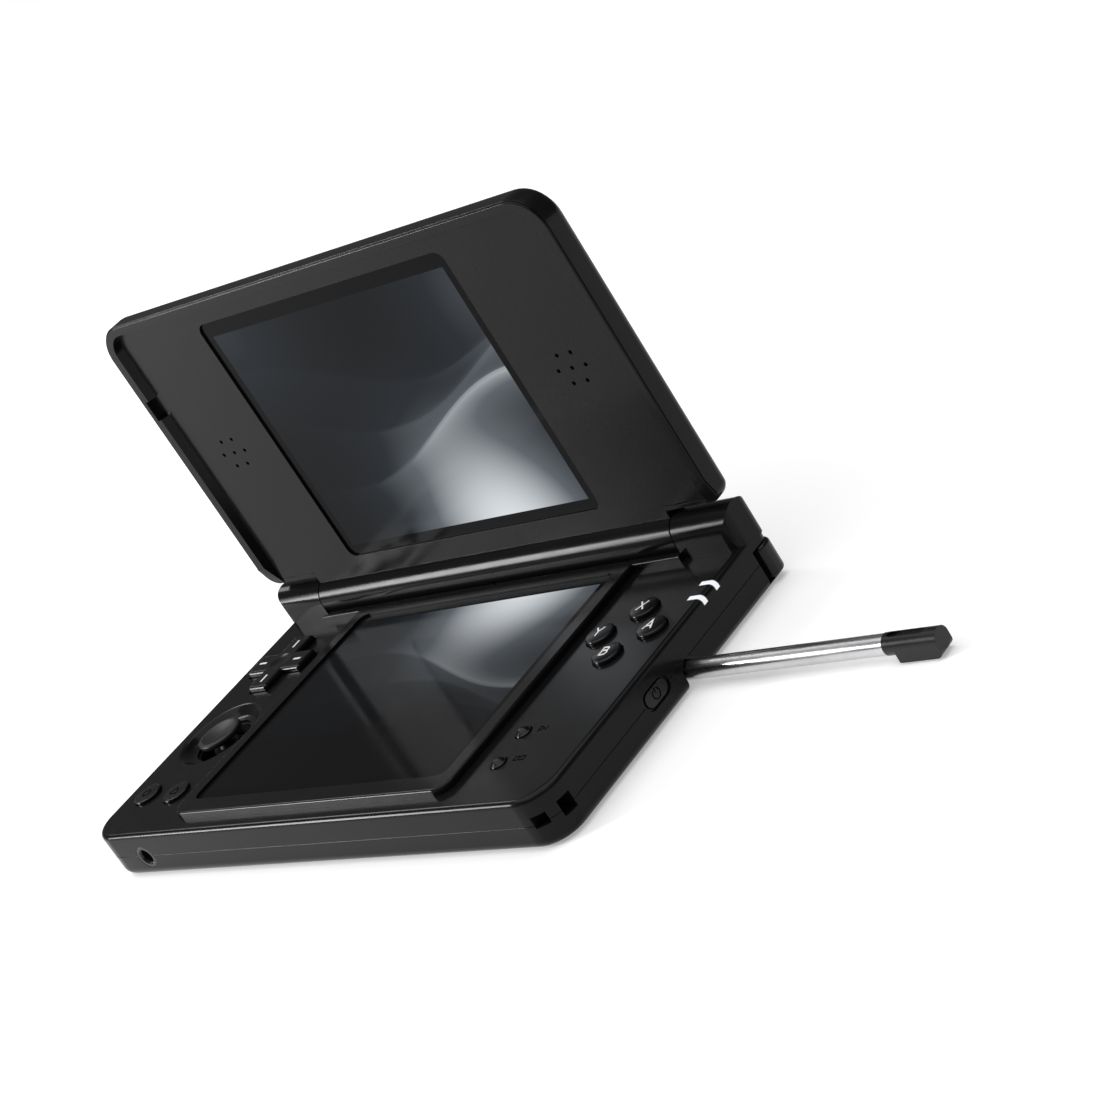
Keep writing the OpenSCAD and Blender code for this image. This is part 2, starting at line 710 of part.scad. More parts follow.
module light_pipes() {
    color([0.95, 0.96, 1])
    for (s = light_y) translate([0, s + light_w / 2, 0]) rotate([90, 0, 0]) linear_extrude(light_w) intersection() {
        translate([light_in, light_z]) square([hw - light_in, base_h - light_z]);
        union() {
            translate([light_in, light_z]) square([hw - edge_r - light_in, base_h - light_z]);
            translate([hw - wall_t, light_z]) square([wall_t, base_h - edge_r - light_z]);
            translate([hw - edge_r, base_h - edge_r]) circle(r = edge_r);
        }
    }
}

module headphone_jack() {
    color(key_grey)
    difference() {
        union() {
            translate([jack_x, front_y + 0.05, jack_z]) rotate([-90, 0, 0]) cylinder(r = jack_r, h = 2.4);
            block(jack_x - 3.3, jack_x + 3.3, front_y + wall_t + 0.1, front_y + 14, jack_z - 2.8, jack_z + 2.35);
        }
        translate([jack_x, front_y - 1, jack_z]) rotate([-90, 0, 0]) cylinder(r = plug_r, h = plug_len + 1);
        translate([jack_x, front_y - 1, jack_z]) rotate([-90, 0, 0]) cylinder(r1 = 3.1, r2 = plug_r, h = 1.5);
    }
}

module usb_port() {
    color(metal)
    translate([port_x, rear_y - 8.2, port_z]) rotate([-90, 0, 0]) difference() {
        linear_extrude(7.9) pill(port_w, port_h);
        translate([0, 0, 1]) linear_extrude(9) difference() {
            pill(port_w - 0.7, port_h - 0.7);
            square([6.4, 0.7], center = true);
        }
    }
}

module base_screws() {
    color(metal)
    screw_spots() difference() {
        union() {
            translate([0, 0, 0.5]) cylinder(r = head_r, h = 1.2);
            translate([0, 0, 1]) cylinder(r = screw_r, h = 7);
        }
        for (a = [0, 90]) rotate([0, 0, a]) block(-1.3, 1.3, -0.3, 0.3, 0.4, 1.1);
    }
}

// ---------- hinge ----------

module hinge_pin_left() {
    color(metal) {
        rod(-knuckle_x - unit_depth, -knuckle_x, hinge_y, hinge_z, unit_r);
        rod(-knuckle_x - 1, -knuckle_x + 13, hinge_y, hinge_z, pin_r);
    }
}

module hinge_pin_right() {
    color(metal)
    difference() {
        union() {
            rod(knuckle_x, knuckle_x + unit_depth, hinge_y, hinge_z, unit_r);
            rod(knuckle_x - 13, knuckle_x + 1, hinge_y, hinge_z, pin_r);
        }
        rod(knuckle_x - 20, knuckle_x + unit_depth + 1, hinge_y, hinge_z, 1);
    }
}

module sleeve(x0, x1) {
    difference() {
        rod(x0, x1, hinge_y, hinge_z, unit_r + 0.05);
        rod(x0 - 1, x1 + 1, hinge_y, hinge_z, pin_r + pin_fit);
    }
}

module hinge_sleeve_left() {
    color(metal) sleeve(-barrel_x, -barrel_x + 14);
}

module hinge_sleeve_right() {
    color(metal) sleeve(barrel_x - 14, barrel_x);
}

// ---------- lid, in lid coordinates ----------

module lid_outer_cover() {
    color(shell_grey)
    lid_frame() difference() {
        union() {
            slab(-hw, hw, lid_start, lid_len, 3, corner_r, -lid_back, cover_top, 2.9, seam);
            block(-barrel_x, barrel_x, lid_start, lid_start + 6, -lid_back, -0.1);
        }
        translate([0, 0, -lid_back + cover_t]) linear_extrude(20)
            plan(-hw + flank_t, hw - flank_t, lid_start + flank_t, lid_len - flank_t, 1.7, corner_r - flank_t);
        block(-barrel_x - 0.15, barrel_x + 0.15, 0, lid_start + flank_t + 0.01, -0.1, 9);
        rotate([90, 0, 90]) translate([0, 0, -hw - 1]) linear_extrude(2 * hw + 2) polygon([
            [lid_start - 2, bezel_w - 0.96], [chamfer_end, cover_top], [chamfer_end, 9], [lid_start - 2, 9]]);
    }
}

// flange over the sloping lower end of the flank
module bezel_foot() {
    intersection() {
        rotate([90, 0, 90]) translate([0, 0, -hw]) linear_extrude(2 * hw) polygon([
            [lid_start - 2, bezel_w - 0.91], [chamfer_end, cover_top + 0.05],
            [chamfer_end, rim_w], [lid_start - 2, bezel_w - 0.46]]);
        translate([0, 0, -1]) linear_extrude(6)
            plan(-hw + lip, hw - lip, lid_start + 0.1, lid_len - lip, 2.8, corner_r - lip);
    }
}

module lid_inner_bezel() {
    color(shell_grey)
    lid_frame() difference() {
        union() {
            slab(-hw + lip, hw - lip, lid_start + 0.1, lid_len - lip, 2.8, corner_r - lip,
                cover_top + 0.05, rim_w, 0.03, 0.3);
            translate([0, 0, core_lo]) linear_extrude(cover_top + 0.2 - core_lo)
                plan(-hw + flank_t + 0.05, hw - flank_t - 0.05,
                    lid_start + flank_t + 0.05, lid_len - flank_t - 0.05, 1.65, corner_r - flank_t - 0.05);
            bezel_foot();
            block(-barrel_x, barrel_x, 0, lid_start - 0.1, -lid_back, bezel_w);
            block(-barrel_x, barrel_x, 0, lid_start + 3, 0, bezel_w);
            rod(-barrel_x, barrel_x, 0, 0, hinge_r);
        }
        difference() {
            hull() for (s = [-1, 1]) {
                translate([s * (hw - 8.4), -14, bezel_w]) cylinder(r1 = 4, r2 = 5.4, h = rim_w - bezel_w + 0.1, $fn = 40);
                translate([s * (hw - 8.4), lid_len - 6.8, bezel_w]) cylinder(r = 4, h = 0.1, $fn = 40);
                translate([s * (hw - 8.4), lid_len - 7.8, rim_w]) cylinder(r = 5.4, h = 0.1, $fn = 40);
            }
            rod(-barrel_x - 1, barrel_x + 1, 0, 0, hinge_r);
        }
        rotate([90, 0, 90]) translate([0, 0, knuckle_x - 0.4]) linear_extrude(hw) polygon([
            [lid_start - 4, bezel_w - 1.13], [chamfer_end, rim_w], [chamfer_end, 9], [lid_start - 4, 9]]);
        mirror([1, 0, 0]) rotate([90, 0, 90]) translate([0, 0, knuckle_x - 0.4]) linear_extrude(hw) polygon([
            [lid_start - 4, bezel_w - 1.13], [chamfer_end, rim_w], [chamfer_end, 9], [lid_start - 4, 9]]);
        translate([0, 0, upper_glass_w - glass_t]) linear_extrude(4)
            plan(-glass_w / 2, glass_w / 2, upper_mid + 0.55 - glass_d / 2, upper_mid + 0.55 + glass_d / 2, 2.5, 2.5);
        block(-active_w / 2 - frame_w, active_w / 2 + frame_w,
            upper_mid - active_d / 2 - frame_w, upper_mid + active_d / 2 + frame_w, -3, 1);
        both() translate([speaker_x, speaker_u, core_lo - 1]) cylinder(r = speaker_r + 0.1, h = bezel_w - core_lo);
        both() speaker_holes();
        both() block(hw - 4.6, hw - 1.9, lid_len - 26.1, lid_len - 20.6, bezel_w, 9);
        rod(-barrel_x - 1, barrel_x + 1, 0, 0, unit_r + 0.05);
        rotate([35, 0, 0]) block(0.3, 1.1, -1.3, 1.3, 3, 9);
    }
}

module speaker_holes() {
    pitch = 4.1;
    translate([speaker_x, speaker_u, 0]) {
        translate([0, 0, -1]) cylinder(r = 0.5, h = 4, $fn = 24);
        for (a = [0 : 60 : 300]) rotate([0, 0, a]) translate([pitch, 0, -1]) cylinder(r = 0.5, h = 4, $fn = 24);
    }
}

module upper_screen_glass() {
    color(glass_black)
    lid_frame() translate([0, 0, upper_glass_w - glass_t]) linear_extrude(glass_t)
        plan(-glass_w / 2 + 0.1, glass_w / 2 - 0.1,
            upper_mid + 0.65 - glass_d / 2, upper_mid + 0.45 + glass_d / 2, 2.4, 2.4);
}

module upper_display_module() {
    color(metal)
    lid_frame() difference() {
        block(-glass_w / 2 + 0.6, glass_w / 2 - 0.6, upper_mid - glass_d / 2 + 1.2, upper_mid + glass_d / 2 - 0.6,
            -lid_back + cover_t, core_lo);
        block(-glass_w / 2 + 8, glass_w / 2 - 8, upper_mid - glass_d / 2 + 8, upper_mid + glass_d / 2 - 8,
            -lid_back, -lid_back + cover_t + 0.4);
    }
}

module lid_board() {
    color(board_green)
    lid_frame() block(-32, 32, upper_mid + glass_d / 2 - 0.3, lid_len - 3, core_lo - 0.8, core_lo);
}

module speaker_shape() {
    lid_frame() translate([speaker_x, speaker_u, 0]) difference() {
        translate([0, 0, -lid_back + cover_t]) cylinder(r = speaker_r, h = lid_back - cover_t + bezel_w - 1.05);
        translate([0, 0, bezel_w - 1.7]) cylinder(r1 = 3.4, r2 = 6.2, h = 0.7);
        translate([0, 0, -lid_back]) cylinder(r = 3, h = cover_t + 0.4);
    }
}

module speaker_right() {
    color(metal) speaker_shape();
}

module speaker_left() {
    color(metal) mirror([1, 0, 0]) speaker_shape();
}

module barrel_flex() {
    color([0.75, 0.5, 0.15])
    lid_frame() block(-10, barrel_x - 14.5, -0.3, 0.3, -3.4, 3.4);
}

module microphone() {
    color(metal)
    lid_frame() translate([0.7, 0.3, 1.4]) rotate([-90, 0, 0]) cylinder(r = 1.3, h = 1.1);
}

module display_cable() {
    color([0.75, 0.5, 0.15]) rod(barrel_x - 14.5, knuckle_x + 10, hinge_y, hinge_z, 0.6);
}

// ---------- stylus, drawn part-way out of its silo ----------

module stylus_barrel() {
    color(metal)
    rod(stylus_end - stylus_len + tip_len, stylus_end - cap_len, silo_y, silo_z, shaft_r);
}

module stylus_cap() {
    color(key_grey)
    difference() {
        union() {
            rod(stylus_end - cap_len, stylus_end, silo_y, silo_z, stylus_r);
            translate([stylus_end - flag_len, silo_y - stylus_r, silo_z - flag_out])
                cube([flag_len - 1.6, 2 * stylus_r, flag_out]);
            translate([stylus_end - flag_len, silo_y - stylus_r, silo_z - flag_out + 1.6])
                cube([flag_len, 2 * stylus_r, flag_out - 1.6]);
            translate([stylus_end - 1.6, silo_y - stylus_r, silo_z - flag_out + 1.6])
                rotate([-90, 0, 0]) cylinder(r = 1.6, h = 2 * stylus_r);
        }
        translate([stylus_end - 7.4, silo_y, silo_z + 1.5]) linear_extrude(3) pill(9.2, 1.7);
    }
}

module stylus_tip() {
    color(key_grey)
    translate([stylus_end - stylus_len, silo_y, silo_z]) rotate([0, 90, 0])
        rotate_extrude() polygon([[0, 0], [0.5, 0.08], [0.9, 0.35], [1.15, 0.8], [1.9, 2.9], [2.1, 3.2], [2.1, tip_len], [0, tip_len]]);
}

base_bottom_shell();
base_top_shell();
lower_screen_glass();
lower_display_module();
main_board();
battery();
pad_membrane();
keys_membrane();
menu_membrane();
pad_post();
pad_ball();
cross_pad();
stick_housing();
stick_yoke();
thumb_stick();
button_a();
button_b();
button_x();
button_y();
start_button();
select_button();
menu_button_left();
menu_button_right();
power_button();
power_switch();
volume_rocker();
volume_pin();
volume_switch();
shoulder_button_left();
shoulder_button_right();
shoulder_pins();
shoulder_switches();
light_pipes();
headphone_jack();
usb_port();
base_screws();
hinge_pin_left();
hinge_pin_right();
lid_outer_cover();
lid_inner_bezel();
upper_screen_glass();
upper_display_module();
lid_board();
speaker_left();
speaker_right();
hinge_sleeve_left();
hinge_sleeve_right();
barrel_flex();
microphone();
display_cable();
stylus_barrel();
stylus_cap();
stylus_tip();
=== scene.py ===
import math

import bmesh
import bpy
from mathutils import Matrix, Vector


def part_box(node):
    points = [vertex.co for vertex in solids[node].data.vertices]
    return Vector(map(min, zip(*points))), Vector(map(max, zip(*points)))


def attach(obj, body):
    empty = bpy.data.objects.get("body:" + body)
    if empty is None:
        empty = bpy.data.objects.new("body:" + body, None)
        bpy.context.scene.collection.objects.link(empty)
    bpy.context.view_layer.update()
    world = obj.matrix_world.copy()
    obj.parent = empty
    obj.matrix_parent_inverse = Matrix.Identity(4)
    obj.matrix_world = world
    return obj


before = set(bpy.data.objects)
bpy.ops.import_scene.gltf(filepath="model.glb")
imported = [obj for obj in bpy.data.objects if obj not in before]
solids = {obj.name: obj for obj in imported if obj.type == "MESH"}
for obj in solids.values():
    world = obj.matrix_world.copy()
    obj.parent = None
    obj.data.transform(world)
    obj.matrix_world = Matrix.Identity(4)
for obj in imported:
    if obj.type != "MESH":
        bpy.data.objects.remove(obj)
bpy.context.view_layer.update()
scene = bpy.context.scene


# ---------------------------------------------------------------- camera
# A long lens looks down on the open console from its front right corner.
# It is rolled a little to the right, as in the photograph.
CAMERA_AT = Vector((0.4565, -0.3236, 0.2261))
CAMERA_RIGHT = Vector((0.68054, 0.52737, -0.50866))
CAMERA_DOWN = Vector((-0.12351, -0.60172, -0.7891))
CAMERA_INTO = Vector((-0.72222, 0.59984, -0.34436))
SENSOR_MM = 36
LENS_IN_IMAGE_WIDTHS = 2695.57 / 1100
NEAREST_SEEN = 0.01

camera_data = bpy.data.cameras.new("camera")
camera_data.sensor_width = SENSOR_MM
camera_data.lens = LENS_IN_IMAGE_WIDTHS * SENSOR_MM
camera_data.clip_start = NEAREST_SEEN
camera = bpy.data.objects.new("camera", camera_data)
scene.collection.objects.link(camera)
turn = Matrix((CAMERA_RIGHT, -CAMERA_DOWN, -CAMERA_INTO)).transposed().to_4x4()
camera.matrix_world = Matrix.Translation(CAMERA_AT) @ turn
scene.camera = camera
scene.view_settings.view_transform = "Standard"


# ---------------------------------------------------------------- studio
# Two soft boxes at the left draw the bright lines along the hinge barrel, the lid's rim and the edges.
# A wide soft ceiling light fills the top, over a sheet of white paper in a grey room.
ROOM_GREY = 0.12
BOX_AIM = Vector((0, 0.02, 0.02))
SOFT_BOXES = {
    # name: (place, width and height, watts)
    "low_left_box": ((-0.84, -0.62, 0.40), (0.26, 0.36), 9.0),
    "high_left_box": ((-0.83, 0.22, 0.68), (0.26, 0.26), 1.4),
}
CEILING_STRENGTH = 0.66 * math.pi
CEILING_SPREAD = math.radians(80)
PAPER_REACH = 6
PAPER_DROP = 0.0003
PAPER_WHITE = 0.86
PAPER_ROUGH = 0.9
PAPER_LIFT = 0.34


def new_material(name):
    material = bpy.data.materials.new(name)
    material.use_nodes = True
    return material, material.node_tree, material.node_tree.nodes["Principled BSDF"]


def math_node(tree, operation, first, second=None, clamp=False):
    node = tree.nodes.new("ShaderNodeMath")
    node.operation = operation
    node.use_clamp = clamp
    for socket, value in zip(node.inputs, (first, second)):
        if isinstance(value, (int, float)):
            socket.default_value = value
        elif value is not None:
            tree.links.new(value, socket)
    return node.outputs[0]


room = bpy.data.worlds.new("grey_room")
room.use_nodes = True
room.node_tree.nodes["Background"].inputs["Color"].default_value = (ROOM_GREY, ROOM_GREY, ROOM_GREY, 1)
scene.world = room

for box_name, (at, size, watts) in SOFT_BOXES.items():
    box_data = bpy.data.lights.new(box_name, "AREA")
    box_data.shape = "RECTANGLE"
    box_data.size, box_data.size_y = size
    box_data.energy = watts
    soft_box = bpy.data.objects.new(box_name, box_data)
    scene.collection.objects.link(soft_box)
    soft_box.location = at
    soft_box.rotation_euler = (BOX_AIM - Vector(at)).to_track_quat("-Z", "Y").to_euler()

ceiling_data = bpy.data.lights.new("ceiling_light", "SUN")
ceiling_data.energy = CEILING_STRENGTH
ceiling_data.angle = CEILING_SPREAD
scene.collection.objects.link(bpy.data.objects.new("ceiling_light", ceiling_data))

paper_mesh = bpy.data.meshes.new("paper_sheet")
shape = bmesh.new()
bmesh.ops.create_grid(shape, x_segments=1, y_segments=1, size=PAPER_REACH)
shape.to_mesh(paper_mesh)
shape.free()
paper_sheet = bpy.data.objects.new("paper_sheet", paper_mesh)
paper_sheet.location.z = -PAPER_DROP
scene.collection.objects.link(paper_sheet)

# The camera, and what mirrors or bends its view, sees the paper lifted to pure white.
# The paper's light on the console stays that of the plain matt sheet.
white_paper, tree, matt = new_material("white_paper")
matt.inputs["Base Color"].default_value = (PAPER_WHITE, PAPER_WHITE, PAPER_WHITE, 1)
matt.inputs["Roughness"].default_value = PAPER_ROUGH
lift = tree.nodes.new("ShaderNodeEmission")
lift.inputs["Color"].default_value = (1, 1, 1, 1)
lift.inputs["Strength"].default_value = PAPER_LIFT
lifted = tree.nodes.new("ShaderNodeAddShader")
tree.links.new(matt.outputs[0], lifted.inputs[0])
tree.links.new(lift.outputs[0], lifted.inputs[1])
ray = tree.nodes.new("ShaderNodeLightPath").outputs
viewed = math_node(tree, "MAXIMUM", ray["Is Camera Ray"], ray["Is Glossy Ray"])
viewed = math_node(tree, "MAXIMUM", viewed, ray["Is Transmission Ray"])
pick = tree.nodes.new("ShaderNodeMixShader")
tree.links.new(viewed, pick.inputs[0])
tree.links.new(matt.outputs[0], pick.inputs[1])
tree.links.new(lifted.outputs[0], pick.inputs[2])
tree.links.new(pick.outputs[0], tree.nodes["Material Output"].inputs[0])
paper_mesh.materials.append(white_paper)


# ---------------------------------------------------------------- base housings
# Two injection moulded halves in black plastic, held by four screws from below.
# The top half carries the screen's raised plateau and the two hinge knuckles.
MM = 0.001
EDGE_RADIUS = 0.08 * MM
FLAT, RUBBED = 0.98, 0.8
# The first lightens the edges' colour, partly as wear and partly as a painted sheen; the second makes them
# smoother.
WEAR_AND_SHEEN_LIGHTER, RUBBED_SMOOTHER = 0.15, 0.04
CLOUD_SCALE, SMUDGE_SCALE = 42, 150  # patches to the metre
NOISE_LOW, NOISE_HIGH = 0.3, 0.7
GRAIN_HEIGHT = 0.02 * MM
SHARPEST_ROUND = 34  # degrees
WELD_REACH = 0.0005 * MM
FLATS_WEIGHT = 60


def object_place(tree):
    return tree.nodes.new("ShaderNodeTexCoord").outputs["Object"]


def noise_node(tree, place, scale, detail):
    node = tree.nodes.new("ShaderNodeTexNoise")
    node.inputs["Detail"].default_value = detail
    if isinstance(scale, (int, float)):
        node.inputs["Scale"].default_value = scale
    else:
        tree.links.new(scale, node.inputs["Scale"])
    tree.links.new(place, node.inputs["Vector"])
    return node.outputs["Fac"]


def range_node(tree, value, low, high, to_low, to_high, clamp=True):
    node = tree.nodes.new("ShaderNodeMapRange")
    node.clamp = clamp
    for label, end in (("From Min", low), ("From Max", high), ("To Min", to_low), ("To Max", to_high)):
        node.inputs[label].default_value = end
    tree.links.new(value, node.inputs["Value"])
    return node.outputs["Result"]


def vary(tree, noise, low, high):
    """Spreads noise from low to high. Most of the noise lies between NOISE_LOW and NOISE_HIGH."""
    return range_node(tree, noise, NOISE_LOW, NOISE_HIGH, low, high)


def scale_node(tree, colour, amount):
    node = tree.nodes.new("ShaderNodeVectorMath")
    node.operation = "SCALE"
    if isinstance(colour, tuple):
        node.inputs[0].default_value = colour
    else:
        tree.links.new(colour, node.inputs[0])
    tree.links.new(amount, node.inputs["Scale"])
    return node.outputs[0]


def new_group(name, inputs, outputs):
    tree = bpy.data.node_groups.new(name, "ShaderNodeTree")
    for label, kind in inputs.items():
        tree.interface.new_socket(label, in_out="INPUT", socket_type="NodeSocket" + kind)
    for label, kind in outputs.items():
        tree.interface.new_socket(label, in_out="OUTPUT", socket_type="NodeSocket" + kind)
    return tree, tree.nodes.new("NodeGroupInput").outputs, tree.nodes.new("NodeGroupOutput").inputs


# The moulded finish has a mottled colour, uneven gloss and a fine grain.
# Its edges are softened and worn a little smoother, and their colour is lightened a little, partly as wear
# and partly as a painted sheen.
moulded, given, result = new_group(
    "moulded",
    {"Colour": "Color", "Roughness": "Float", "Grain": "Float", "Depth": "Float"},
    {"Colour": "Color", "Roughness": "Float", "Normal": "Vector"},
)
place = object_place(moulded)
grain = noise_node(moulded, place, given["Grain"], 2)
cloud = noise_node(moulded, place, CLOUD_SCALE, 4)
smudge = noise_node(moulded, place, SMUDGE_SCALE, 3)
soft_edge = moulded.nodes.new("ShaderNodeBevel")
soft_edge.samples = 4
soft_edge.inputs["Radius"].default_value = EDGE_RADIUS
face = moulded.nodes.new("ShaderNodeNewGeometry").outputs["Normal"]
lean = moulded.nodes.new("ShaderNodeVectorMath")
lean.operation = "DOT_PRODUCT"
moulded.links.new(soft_edge.outputs[0], lean.inputs[0])
moulded.links.new(face, lean.inputs[1])
edge_wear_and_sheen = range_node(moulded, lean.outputs["Value"], FLAT, RUBBED, 0, 1)
edge_wear_and_sheen = math_node(moulded, "MULTIPLY", edge_wear_and_sheen, range_node(moulded, smudge, 0.35, 0.65, 0.3, 1))
mottle_and_edge_sheen = vary(moulded, cloud, 0.9, 1.12)
mottle_and_edge_sheen = math_node(moulded, "MULTIPLY", mottle_and_edge_sheen, range_node(moulded, grain, 0.25, 0.75, 0.88, 1.12))
# Edges painted lighter: partly wear, partly a painted sheen along the edges.
mottle_and_edge_sheen = math_node(moulded, "ADD", mottle_and_edge_sheen, math_node(moulded, "MULTIPLY", edge_wear_and_sheen, WEAR_AND_SHEEN_LIGHTER))
moulded.links.new(scale_node(moulded, given["Colour"], mottle_and_edge_sheen), result["Colour"])
gloss = vary(moulded, smudge, -0.02, 0.02)
gloss = math_node(moulded, "ADD", gloss, vary(moulded, grain, -0.015, 0.015))
gloss = math_node(moulded, "SUBTRACT", gloss, math_node(moulded, "MULTIPLY", edge_wear_and_sheen, RUBBED_SMOOTHER))
gloss = math_node(moulded, "ADD", given["Roughness"], gloss, clamp=True)
moulded.links.new(gloss, result["Roughness"])
bump = moulded.nodes.new("ShaderNodeBump")
bump.inputs["Distance"].default_value = GRAIN_HEIGHT
moulded.links.new(given["Depth"], bump.inputs["Strength"])
moulded.links.new(grain, bump.inputs["Height"])
moulded.links.new(soft_edge.outputs[0], bump.inputs["Normal"])
moulded.links.new(bump.outputs[0], result["Normal"])


def moulded_plastic(name, colour, rough, grain, depth, specular=0.3):
    material, tree, bsdf = new_material(name)
    finish = tree.nodes.new("ShaderNodeGroup")
    finish.node_tree = moulded
    finish.inputs["Colour"].default_value = (*colour, 1)
    finish.inputs["Roughness"].default_value = rough
    finish.inputs["Grain"].default_value = grain
    finish.inputs["Depth"].default_value = depth
    tree.links.new(finish.outputs["Colour"], bsdf.inputs["Base Color"])
    tree.links.new(finish.outputs["Roughness"], bsdf.inputs["Roughness"])
    tree.links.new(finish.outputs["Normal"], bsdf.inputs["Normal"])
    bsdf.inputs["Specular IOR Level"].default_value = specular
    return material


def dress(material, *names):
    for name in names:
        mesh = solids[name].data
        mesh.materials.clear()
        mesh.materials.append(material)


def round_shading(*names):
    """Shades a solid's small facets as one round, and keeps its flats flat and its corners crisp."""
    for name in names:
        piece = solids[name]
        weld = piece.modifiers.new("weld", "WELD")
        weld.merge_threshold = WELD_REACH
        split = piece.modifiers.new("crisp_corners", "EDGE_SPLIT")
        split.split_angle = math.radians(SHARPEST_ROUND)
        piece.modifiers.new("even_normals", "WEIGHTED_NORMAL").weight = FLATS_WEIGHT
        piece.data.polygons.foreach_set("use_smooth", [True] * len(piece.data.polygons))


shell_black = moulded_plastic(
    "shell_black", (0.0066, 0.0066, 0.007), rough=0.18, grain=3400, depth=0.05, specular=0.12
)
dress(shell_black, "base_bottom_shell", "base_top_shell")
round_shading("base_bottom_shell", "base_top_shell")


# ---------------------------------------------------------------- housing screws
# Four black zinc plated steel screws with a cross recess, sunk in the underside.
# Their heads sit in pockets and pull the bottom half up against the top half.
STREAK_STRETCH = 0.04
SCRATCH_HEIGHT = 0.01 * MM


def bright_metal(name, colour, rough, along="", streak=900):
    """Metal with fine scratches, drawn out into streaks along one axis where one is given."""
    material, tree, bsdf = new_material(name)
    place = object_place(tree)
    stretch = tree.nodes.new("ShaderNodeMapping")
    tree.links.new(place, stretch.inputs["Vector"])
    stretch.inputs["Scale"].default_value = [STREAK_STRETCH if axis == along else 1 for axis in "XYZ"]
    lines = noise_node(tree, stretch.outputs[0], streak, 4)
    cloud = noise_node(tree, place, 90, 3)
    tint = scale_node(tree, colour, vary(tree, cloud, 0.88, 1.1))
    tree.links.new(tint, bsdf.inputs["Base Color"])
    tree.links.new(vary(tree, lines, rough * 0.75, rough * 1.3), bsdf.inputs["Roughness"])
    scratch = tree.nodes.new("ShaderNodeBump")
    scratch.inputs["Distance"].default_value = SCRATCH_HEIGHT
    scratch.inputs["Strength"].default_value = 0.25
    tree.links.new(lines, scratch.inputs["Height"])
    tree.links.new(scratch.outputs[0], bsdf.inputs["Normal"])
    bsdf.inputs["Metallic"].default_value = 1
    return material


black_zinc = bright_metal("black_zinc", (0.09, 0.09, 0.095), rough=0.35)
dress(black_zinc, "base_screws")


# ---------------------------------------------------------------- main board and cell
# A green fibre board carries every switch, and a flat pouch cell in a dark wrap lies under it.
# Both lie in ribs of the bottom housing, and the board is clamped by the housing screws.
solder_mask = moulded_plastic("solder_mask", (0.012, 0.07, 0.035), rough=0.35, grain=1500, depth=0.3)
dress(solder_mask, "main_board", "lid_board")
cell_wrap = moulded_plastic("cell_wrap", (0.05, 0.055, 0.065), rough=0.45, grain=900, depth=0.5)
dress(cell_wrap, "battery")


# ---------------------------------------------------------------- lower screen
# Gloss black glass with a clear window is bonded on a ledge of the plateau, over the display's steel tray.
# The picture is a plain one, of folds of soft light over a slate ground.
PICTURE_W, PICTURE_H = 81.28 * MM, 60.96 * MM
LOWER_PICTURE_OFF = 0.3 * MM
GLOWS = [
    # (across, up, spread across, spread up, strength), in shares of the picture
    (0.68, -0.08, 0.32, 0.46, 0.74),
    (0.03, 1.0, 0.28, 0.36, 0.16),
    (1.05, 0.9, 0.25, 0.4, 0.2),
]
FOLDS = [
    # (start, slope, swing, turns, phase, depth, light at the left, light at the right, rim)
    (0.30, 0.18, 0.10, 4.6, 3.4, 0.09, 0.0, 0.3, 0.16),
    (0.52, 0.10, 0.12, 4.2, 2.5, 0.12, 0.0, 0.13, 0.12),
    (0.74, -0.05, 0.09, 5.2, 1.2, 0.18, 0.02, 0.06, 0.06),
]
RIM_DEPTH = 0.009
RIM_STARTS = 0.35
SHADES = {
    # brightness: colour
    0: (0.004, 0.0046, 0.0055, 1),
    0.14: (0.013, 0.017, 0.022, 1),
    0.35: (0.1, 0.116, 0.13, 1),
    0.8: (0.80, 0.84, 0.88, 1),
}
GLASS_BLACK = (0.006, 0.006, 0.0065, 1)
GLASS_SPECULAR = 0.035

picture, given, result = new_group("picture", {"Across": "Float", "Up": "Float"}, {"Colour": "Color"})
across, up = given["Across"], given["Up"]


def calc(*step):
    return math_node(picture, *step)


def light_fold(start, slope, swing, turns, phase, depth, left, right, rim):
    """One fold: a crisp wavy upper edge with a thin bright rim, and light that fades below it over depth."""
    wave = calc("SINE", calc("ADD", calc("MULTIPLY", across, turns), phase))
    edge = calc("ADD", calc("MULTIPLY", wave, swing), start)
    edge = calc("ADD", edge, calc("MULTIPLY", across, slope))
    below = calc("SUBTRACT", edge, up)
    away = calc("ABSOLUTE", below)
    lit = calc("EXPONENT", calc("MULTIPLY", away, -1 / depth))
    lit = calc("MULTIPLY", lit, range_node(picture, below, -0.006, 0.012, 0, 1))
    lit = calc("MULTIPLY", lit, range_node(picture, across, 0, 1, left, right))
    line = calc("EXPONENT", calc("MULTIPLY", away, -1 / RIM_DEPTH))
    line = calc("MULTIPLY", line, range_node(picture, across, RIM_STARTS, 1, 0, rim))
    return calc("ADD", lit, line)


def glow_spot(at_across, at_up, spread_across, spread_up, strength):
    parts = []
    for value, middle, spread in ((across, at_across, spread_across), (up, at_up, spread_up)):
        away = calc("MULTIPLY", calc("SUBTRACT", value, middle), 1 / spread)
        parts.append(calc("MULTIPLY", away, away))
    spot = calc("EXPONENT", calc("MULTIPLY", calc("ADD", *parts), -1))
    return calc("MULTIPLY", spot, strength)


brightness = 0
for part in [glow_spot(*glow) for glow in GLOWS] + [light_fold(*fold) for fold in FOLDS]:
    brightness = calc("ADD", part, brightness)
ramp = picture.nodes.new("ShaderNodeValToRGB")
stops = ramp.color_ramp.elements
stops.remove(stops[1])
for at, shade in SHADES.items():
    stop = stops.new(at) if at else stops[0]
    stop.color = shade
picture.links.new(brightness, ramp.inputs[0])
picture.links.new(ramp.outputs[0], result["Colour"])


def middle_of(name):
    low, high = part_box(name)
    return (low + high) / 2


